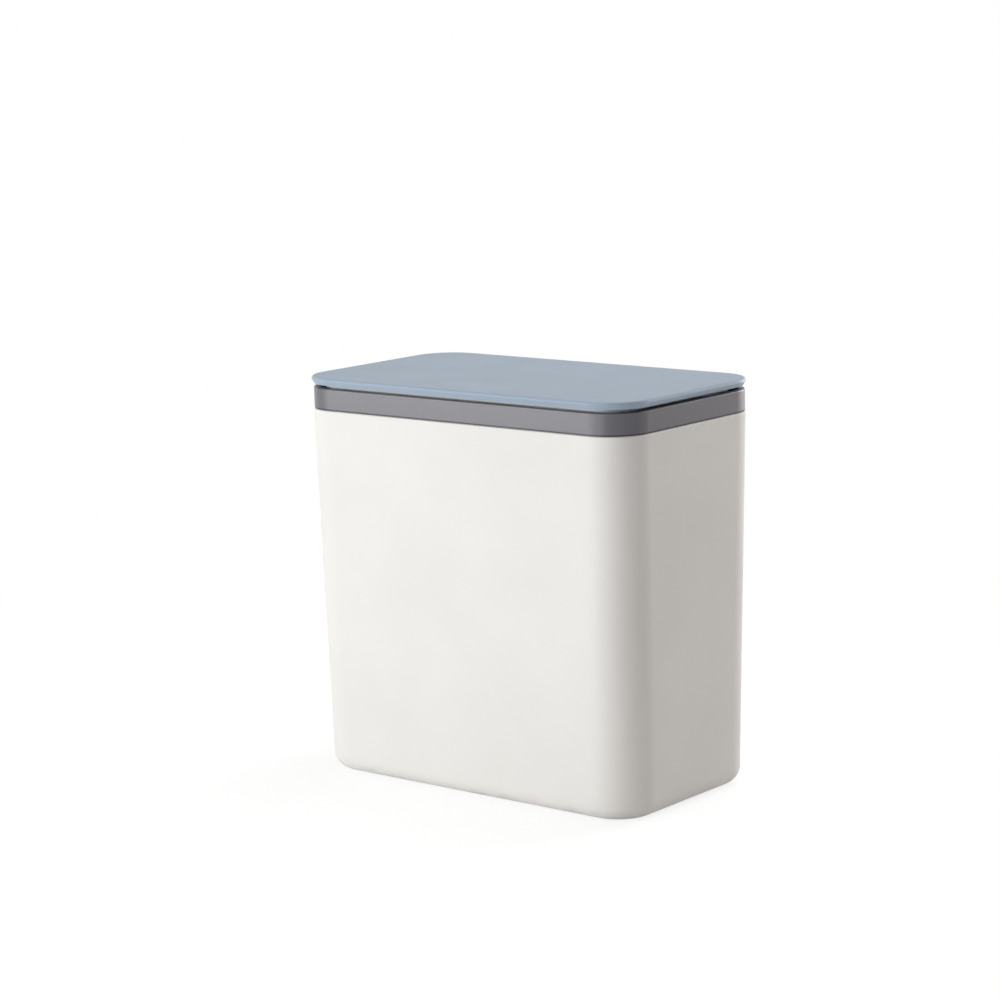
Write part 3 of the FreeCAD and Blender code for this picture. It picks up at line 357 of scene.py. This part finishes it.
def moulded(name, colour, roughness, grain, depth, gloss, groove=None):
    """Moulded plastic: eroded grain, slow waves, cloudy colour, polished patches, hairlines.

    Where a groove runs round at the height given, a painted shadow darkens the colour.
    """
    graph = material_graph(name)
    tone = clouded(graph, colour, size=34, shade=CLOUD_SHADE)
    mottle = graph.spread(graph.noise(size=2.2, detail=4), *PATCHES, to_high=MOTTLE_SHARE)
    tone = graph.blend(mottle, tone, tinted(colour, MOTTLE_SHADE))
    # Painted shadow: the colour darkens in a band round the groove's height
    if groove:
        tone = graph.blend(painted_groove_shadow(graph, groove), tone, tinted(colour, PAINTED_SHADOW_TINT))
    hairs = hairlines(graph, size=9, stretch=(1.0, 0.06, 0.06), distortion=0.4,
                      span=(0.66, 0.70))
    cross_hairs = hairlines(graph, size=7, stretch=(0.05, 1.0, 0.3), distortion=0.3,
                            span=(0.68, 0.72))
    patches = graph.noise(size=16, detail=4)
    rough = graph.spread(patches, *PATCHES, to_low=roughness - PATCH_ROUGHNESS,
                         to_high=roughness + PATCH_ROUGHNESS)
    rough = graph.raised(rough, graph.maths("MAXIMUM", hairs, cross_hairs), HAIR_ROUGHNESS)
    normal = relief(graph, wave=26, wave_depth=0.05, grain=grain, depth=depth,
                    pits=grain * PIT_SPACING)
    return plastic(graph, tone, rough, normal, gloss)


def collar_finish():
    """Dark grey plastic, with a painted shadow in the groove that runs round at the bucket's rim.
    """
    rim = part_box("bucket")[1].z
    return moulded("collar_grey", COLLAR_GREY, roughness=0.34, grain=0.3, depth=0.006,
                   gloss=0.60, groove=rim + PAINTED_SHADOW_MIDDLE)


def liner_finish():
    """Pale grey plastic on the inside of the lid."""
    return moulded("liner_grey", LINER_GREY, roughness=0.46, grain=0.4, depth=0.008, gloss=0.45)


def latch_finish():
    """Black plastic of the latch's body."""
    return moulded("latch_black", LATCH_BLACK, roughness=0.42, grain=0.3, depth=0.008, gloss=0.5)


def slider_finish():
    """Smooth white plastic of the slider and of the striker that it takes."""
    return moulded("slider_white", SLIDER_WHITE, roughness=0.35, grain=0.5, depth=0.004, gloss=0.5)


# Rubber and steel

DUST_SPAN = (0.5, 0.75)
DUST_SHARE = 0.5
STREAK_SHADE = 0.78
STREAK_POLISH = 0.06
STREAK_ROUGHNESS = 0.10
SPECK_SPAN = (0.62, 0.7)
SPECK_SHADE = 0.45
SPECK_SHARE = 0.4


def bumper_finish():
    """Soft bumper rubber with a little dust in its grain."""
    graph = material_graph("bumper_rubber")
    dust = graph.spread(graph.noise(size=0.6, detail=5), *DUST_SPAN, to_high=DUST_SHARE)
    tone = graph.blend(dust, RUBBER_GREY, RUBBER_DUST)
    rough = graph.spread(graph.noise(size=1.2, detail=3), *PATCHES, to_low=0.68, to_high=0.82)
    normal = graph.bump(graph.noise(size=0.25, detail=4), depth=0.01)
    return graph.finish(Base_Color=tone, Roughness=rough, Normal=normal, Specular_IOR_Level=0.35)


def metal(name, colour, roughness, stretch):
    """Drawn or turned steel: streaks along the work, small dark specks."""
    graph = material_graph(name)
    streaks = graph.noise(size=0.5, detail=5, stretch=stretch)
    tone = graph.blend(graph.spread(streaks, *CLOUDS), colour, tinted(colour, STREAK_SHADE))
    specks = graph.spread(graph.noise(size=0.4, detail=4), *SPECK_SPAN, to_high=SPECK_SHARE)
    tone = graph.blend(specks, tone, tinted(colour, SPECK_SHADE))
    rough = graph.spread(streaks, *PATCHES, to_low=roughness - STREAK_POLISH,
                         to_high=roughness + STREAK_ROUGHNESS)
    normal = graph.bump(streaks, depth=0.004)
    return graph.finish(Base_Color=tone, Roughness=rough, Normal=normal, Metallic=1.0)


def pin_finish():
    return metal("pin_steel", STEEL, roughness=0.26, stretch=(0.08, 1, 1))


def spring_finish():
    return metal("spring_steel", SPRING_STEEL, roughness=0.30, stretch=(1, 1, 0.3))


def screw_finish():
    return metal("screw_steel", STEEL, roughness=0.28, stretch=(1, 1, 0.2))


def dress(material, *names):
    for name in names:
        mesh = NODES[name].data
        mesh.materials.clear()
        mesh.materials.append(material)


def dress_nodes():
    dress(bucket_finish(), "bucket")
    dress(collar_finish(), "collar")
    dress(lid_finish(), "lid_panel")
    dress(liner_finish(), "lid_liner")
    dress(latch_finish(), "latch_housing")
    dress(slider_finish(), "latch_slider", "latch_striker")
    dress(bumper_finish(), "press_bumper_right", "press_bumper_left")
    dress(pin_finish(), "hinge_pin_right", "hinge_pin_left", "latch_cam_pin")


# Meshes from rounds of points

def skin(mesh, rings):
    """Close a solid over rounds of points that follow each other, with a flat face at each end."""
    sides = len(rings[0])
    for low, high in zip(rings, rings[1:]):
        for turn in range(sides):
            after = (turn + 1) % sides
            mesh.faces.new((low[turn], low[after], high[after], high[turn]))
    mesh.faces.new(list(reversed(rings[0])))
    mesh.faces.new(rings[-1])


def finished(name, mesh, smooth=True):
    """Turn a mesh in the making into an object of the scene."""
    bmesh.ops.recalc_face_normals(mesh, faces=mesh.faces)
    data = bpy.data.meshes.new(name)
    mesh.to_mesh(data)
    mesh.free()
    for face in data.polygons:
        face.use_smooth = smooth
    piece = bpy.data.objects.new(name, data)
    bpy.context.scene.collection.objects.link(piece)
    return piece


# Springs: a torsion coil about each hinge pin and a compression coil in the latch

TORSION_TURNS = 4.5
TORSION_WIRE = 0.5 * MM
TORSION_RADIUS = 1.7 * MM
TORSION_PITCH = 1.0 * MM
TORSION_LEG = 6.7 * MM
TORSION_BEND = 1.0 * MM
TORSION_TILT_DEGREES = 2.5
LATCH_SPRING_TURNS = 5
LATCH_SPRING_WIRE = 0.4 * MM
LATCH_SPRING_RADIUS = 1.7 * MM
WIRE_SIDES = 12
# The rounding of a wire's ends, in radii: how far it stands out, and the radius it ends at
WIRE_END_REACH = 0.3
WIRE_END_SHARE = 0.72
TURN_STEPS = 28
LEG_STEPS = 4


def lid_axis():
    """A point on the line that the lid turns about."""
    hinge = next(joint for joint in frame["joints"] if joint["name"] == "lid_hinge")
    return Vector(hinge["pos_m"])


def along_coil(point_at, turns):
    """Evenly spaced points of a coil."""
    steps = round(turns * TURN_STEPS)
    return [point_at(turns * step / steps) for step in range(steps + 1)]


def leg_points(start, way):
    """Points of a leg that bends square to the lid's axis, X, and runs straight on."""
    square = Vector((0, way.y, way.z)).normalized()
    corner = start + way * (TORSION_BEND / 2)
    bend_end = corner + square * (TORSION_BEND / 2)
    bend_middle = (start + 2 * corner + bend_end) / 4
    run = (TORSION_LEG - TORSION_BEND) / LEG_STEPS
    straight = [bend_end + square * run * step for step in range(LEG_STEPS + 1)]
    return [bend_middle] + straight


def torsion_path(start_x, sign):
    """Points along the wire: the leg on the collar, the coil, and the leg under the lid."""
    axis = lid_axis()
    start_angle = math.radians(TORSION_TILT_DEGREES) - math.pi / 2

    def angle_at(turn):
        return 2 * math.pi * turn + start_angle

    def point_at(turn):
        return Vector((start_x + sign * TORSION_PITCH * turn,
                       axis.y + TORSION_RADIUS * math.cos(angle_at(turn)),
                       axis.z + TORSION_RADIUS * math.sin(angle_at(turn))))

    def way_at(turn):
        round_speed = 2 * math.pi * TORSION_RADIUS
        return Vector((sign * TORSION_PITCH,
                       -round_speed * math.sin(angle_at(turn)),
                       round_speed * math.cos(angle_at(turn)))).normalized()

    coil = along_coil(point_at, TORSION_TURNS)
    seat_leg = leg_points(coil[0], -way_at(0))
    lid_leg = leg_points(coil[-1], way_at(TORSION_TURNS))
    return list(reversed(seat_leg)) + coil + lid_leg


def wire_ring(mesh, centre, across, up, radius):
    """A round of new points about the centre."""
    ring = []
    for turn in range(WIRE_SIDES):
        angle = 2 * math.pi * turn / WIRE_SIDES
        ring.append(mesh.verts.new(centre + (across * math.cos(angle) + up * math.sin(angle))
                                   * radius))
    return ring


def wire(name, points, radius):
    """A closed round wire along the points, with slightly rounded ends."""
    mesh = bmesh.new()
    rings = []
    last = len(points) - 1
    across = (points[1] - points[0]).orthogonal()
    for index, point in enumerate(points):
        way = (points[min(index + 1, last)] - points[max(index - 1, 0)]).normalized()
        across = (across - way * across.dot(way)).normalized()
        up = way.cross(across)
        if index == 0:
            end = point - way * radius * WIRE_END_REACH
            rings.append(wire_ring(mesh, end, across, up, radius * WIRE_END_SHARE))
        rings.append(wire_ring(mesh, point, across, up, radius))
        if index == last:
            end = point + way * radius * WIRE_END_REACH
            rings.append(wire_ring(mesh, end, across, up, radius * WIRE_END_SHARE))
    skin(mesh, rings)
    return finished(name, mesh)


def add_torsion_springs(material):
    """A coil about each hinge pin, with one leg on the collar and the other under the lid."""
    for hand, sign in (("right", 1), ("left", -1)):
        node = "torsion_spring_" + hand
        low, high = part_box(node)
        start = (low.x if sign > 0 else high.x) + sign * TORSION_WIRE / 2
        piece = wire("torsion_coil_" + hand, torsion_path(start, sign), TORSION_WIRE / 2)
        piece.data.materials.append(material)
        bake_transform(piece)
        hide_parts(node)


def add_latch_spring(material):
    """A compression coil in the place of the latch spring."""
    low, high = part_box("latch_spring")
    middle = (low + high) / 2
    foot = low.z + LATCH_SPRING_WIRE / 2
    rise = high.z - low.z - LATCH_SPRING_WIRE

    def point_at(turn):
        angle = 2 * math.pi * turn
        return Vector((middle.x + LATCH_SPRING_RADIUS * math.cos(angle),
                       middle.y + LATCH_SPRING_RADIUS * math.sin(angle),
                       foot + rise * turn / LATCH_SPRING_TURNS))

    piece = wire("latch_coil", along_coil(point_at, LATCH_SPRING_TURNS), LATCH_SPRING_WIRE / 2)
    piece.data.materials.append(material)
    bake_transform(piece)
    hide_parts("latch_spring")


def add_springs():
    material = spring_finish()
    add_torsion_springs(material)
    add_latch_spring(material)


# Screws

SCREW_HEAD = 1.6 * MM
SCREW_HEAD_HEIGHT = 1.0 * MM
SCREW_HEAD_ROUND = 0.4 * MM
SCREW_SHANK = 0.8 * MM
SCREW_THREAD = 0.18 * MM
SCREW_PITCH = 0.6 * MM
SCREW_POINT = 0.6 * MM
SCREW_TIP_SHARE = 0.15
SCREW_SIDES = 36
PITCH_STEPS = 6
ROUND_STEPS = 4
RECESS_REACH = 0.95 * MM
RECESS_WIDTH = 0.36 * MM
RECESS_DEPTH = 0.65 * MM
RECESS_PROUD = RECESS_DEPTH / 4
RECESS_END_REACH = RECESS_REACH / 3
RECESS_END_WIDTH = RECESS_WIDTH * 0.7


def screw_rings(length):
    """Height, radius and share of thread of each ring, from the tip down to the head's end."""
    rings = [(length, SCREW_TIP_SHARE * SCREW_SHANK, 0.0)]
    steps = round((length - SCREW_POINT) / SCREW_PITCH * PITCH_STEPS)
    for step in range(steps + 1):
        height = (length - SCREW_POINT) * (1 - step / steps)
        rings.append((height, SCREW_SHANK, 1.0 if 0 < step < steps else 0.0))
    rings.append((0, SCREW_HEAD, 0.0))
    for step in range(ROUND_STEPS + 1):
        angle = math.pi / 2 * step / ROUND_STEPS
        rings.append((-SCREW_HEAD_HEIGHT + SCREW_HEAD_ROUND * (1 - math.sin(angle)),
                      SCREW_HEAD - SCREW_HEAD_ROUND * (1 - math.cos(angle)), 0.0))
    return rings


def add_screw(mesh, centre, length):
    """A pan-head screw that points up, its head's bearing face at the centre given."""
    rings = []
    for height, radius, threaded in screw_rings(length):
        ring = []
        for turn in range(SCREW_SIDES):
            share = (height / SCREW_PITCH + turn / SCREW_SIDES) % 1
            groove = threaded * SCREW_THREAD * abs(2 * share - 1)
            angle = 2 * math.pi * turn / SCREW_SIDES
            reach = radius - groove
            ring.append(mesh.verts.new(centre + Vector((reach * math.cos(angle),
                                                        reach * math.sin(angle), height))))
        rings.append(ring)
    skin(mesh, list(reversed(rings)))


def add_recess(mesh, centre):
    """A tapered cross that is cut into the head from below."""
    bottom = -SCREW_HEAD_HEIGHT
    ends = ((bottom - RECESS_PROUD, RECESS_REACH, RECESS_WIDTH),
            (bottom + RECESS_DEPTH, RECESS_END_REACH, RECESS_END_WIDTH))
    for quarter in (0, 1):
        turn = Matrix.Rotation(math.pi / 2 * quarter, 3, "Z")
        rings = []
        for height, reach, width in ends:
            corners = ((-reach, -width / 2), (reach, -width / 2),
                       (reach, width / 2), (-reach, width / 2))
            rings.append([mesh.verts.new(centre + turn @ Vector((x, y, height)))
                          for x, y in corners])
        skin(mesh, rings)


def applied(piece):
    """Give a piece the mesh that its modifiers make, and drop them."""
    bpy.context.view_layer.update()
    shaped = piece.evaluated_get(bpy.context.evaluated_depsgraph_get())
    piece.data = bpy.data.meshes.new_from_object(shaped)
    piece.modifiers.clear()


def cut_out(piece, tool):
    """Take the tool's solids out of the piece."""
    cut = piece.modifiers.new("recess", "BOOLEAN")
    cut.operation = "DIFFERENCE"
    cut.use_self = True
    cut.object = tool
    applied(piece)
    bpy.data.objects.remove(tool)


def add_screws(node, material):
    """The screws of a node as one piece: a pair, or a pair in each of two rows."""
    low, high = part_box(node)
    columns = (low.x + SCREW_HEAD, high.x - SCREW_HEAD)
    rows = (low.y + SCREW_HEAD, high.y - SCREW_HEAD)
    if rows[1] - rows[0] < SCREW_HEAD:
        rows = ((low.y + high.y) / 2,)
    bearing = low.z + SCREW_HEAD_HEIGHT
    solid = bmesh.new()
    cutter = bmesh.new()
    for y in rows:
        for x in columns:
            centre = Vector((x, y, bearing))
            add_screw(solid, centre, high.z - bearing)
            add_recess(cutter, centre)
    piece = finished("cross_" + node, solid, smooth=False)
    cut_out(piece, finished("cross_cutter", cutter, smooth=False))
    piece.data.materials.append(material)
    return piece


def add_all_screws():
    material = screw_finish()
    for node, body in (("liner_screws", "lid"), ("latch_screws", "collar")):
        piece = add_screws(node, material)
        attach(piece, body)
        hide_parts(node)


# Stage, lights and camera

FLOOR_REACH = 6
FLOOR_LIFT = 0.79
FLOOR_FADE = (0.16, 0.42)
WORLD_LIGHT = 0.32
WORLD_TINT = (1.0, 0.955, 0.93)
COOL_LAMP = (0.985, 1.0, 1.0)
WARM_LAMP = (1.0, 0.96, 0.935)
LAMP_DISTANCE = 1.0


def floor_finish():
    """Near the bin the floor shows shadows; further out it is plain white to the eye."""
    graph = material_graph("floor_pale")
    graph.nodes.remove(graph.shader)
    bounce = graph.fill(graph.add("BsdfDiffuse"), Color=FLOOR_BOUNCE)
    shaded = graph.fill(graph.add("BsdfDiffuse"), Color=FLOOR_SHADED)
    lift = graph.fill(graph.add("Emission"), Color=WHITE, Strength=FLOOR_LIFT)
    far = graph.fill(graph.add("Emission"), Color=WHITE, Strength=1.0)
    fade = graph.spread(graph.distance(graph.place, (0, 0, 0)), *FLOOR_FADE, smooth=True)
    shown = graph.mixed(fade, graph.summed(shaded, lift), far)
    graph.surface(graph.mixed(graph.seen(), bounce, shown), "Material Output")
    return graph.owner


def add_floor():
    """A pale floor that runs far out on all sides."""
    mesh = bmesh.new()
    bmesh.ops.create_grid(mesh, x_segments=1, y_segments=1, size=FLOOR_REACH)
    floor = finished("floor", mesh, smooth=False)
    floor.data.materials.append(floor_finish())


def light_world():
    """White to the camera and in reflections, a quiet warm grey as light."""
    graph = Graph(bpy.data.worlds.new("studio"))
    quiet = graph.fill(graph.nodes["Background"], Color=WORLD_TINT, Strength=WORLD_LIGHT)
    white = graph.fill(graph.add("Background"), Color=WHITE, Strength=1.0)
    graph.surface(graph.mixed(graph.seen(), quiet, white), "World Output")
    bpy.context.scene.world = graph.owner


def direction(azimuth, elevation):
    """From the bin outwards; azimuth 0 is in front of the latch side, 90 at the right."""
    turn = math.radians(azimuth)
    rise = math.radians(elevation)
    return Vector((math.sin(turn) * math.cos(rise),
                   -math.cos(turn) * math.cos(rise),
                   math.sin(rise)))


def add_soft_box(name, azimuth, elevation, level, width, height, tint):
    """A lamp aimed at the bin. A level of 1 lights white straight on as white."""
    lamp = bpy.data.lights.new(name, "AREA")
    lamp.shape = "RECTANGLE"
    lamp.size = width
    lamp.size_y = height
    lamp.energy = level * (math.pi * LAMP_DISTANCE) ** 2
    lamp.color = tint
    holder = bpy.data.objects.new(name, lamp)
    way = direction(azimuth, elevation)
    holder.location = Vector((0, 0, CAMERA_AIM_HEIGHT)) + way * LAMP_DISTANCE
    holder.rotation_euler = way.to_track_quat("Z", "Y").to_euler()
    bpy.context.scene.collection.objects.link(holder)


def add_lamps():
    """Two low lamps in front of the bin, a warm one behind it and one above it."""
    add_soft_box("front", azimuth=-14, elevation=6, level=0.44, width=1.0, height=0.26,
                 tint=COOL_LAMP)
    add_soft_box("left", azimuth=-38, elevation=5, level=0.29, width=0.5, height=0.26,
                 tint=COOL_LAMP)
    add_soft_box("rear", azimuth=165, elevation=12, level=0.52, width=0.5, height=0.5,
                 tint=WARM_LAMP)
    add_soft_box("top", azimuth=165, elevation=76, level=0.33, width=0.5, height=0.5,
                 tint=COOL_LAMP)


def add_camera():
    camera = bpy.data.cameras.new("camera")
    camera.sensor_width = SENSOR
    camera.lens = LENS
    camera.clip_start = CAMERA_CLIP
    holder = bpy.data.objects.new("camera", camera)
    back = direction(CAMERA_AZIMUTH, CAMERA_ELEVATION)
    turn = math.radians(CAMERA_AZIMUTH)
    right = Vector((math.cos(turn), math.sin(turn), 0))
    up = back.cross(right)
    level = Matrix((right, up, back)).transposed()
    turned = level @ Matrix.Rotation(math.radians(CAMERA_ROLL), 3, "Z")
    offset = turned @ Vector((CAMERA_SHIFT_RIGHT, CAMERA_SHIFT_UP, CAMERA_DISTANCE))
    place = Vector((0, 0, CAMERA_AIM_HEIGHT)) + offset
    holder.matrix_world = Matrix.Translation(place) @ turned.to_4x4()
    bpy.context.scene.collection.objects.link(holder)
    bpy.context.scene.camera = holder


dress_nodes()
add_springs()
add_all_screws()
add_floor()
light_world()
add_lamps()
add_camera()
bpy.context.scene.view_settings.view_transform = "Standard"
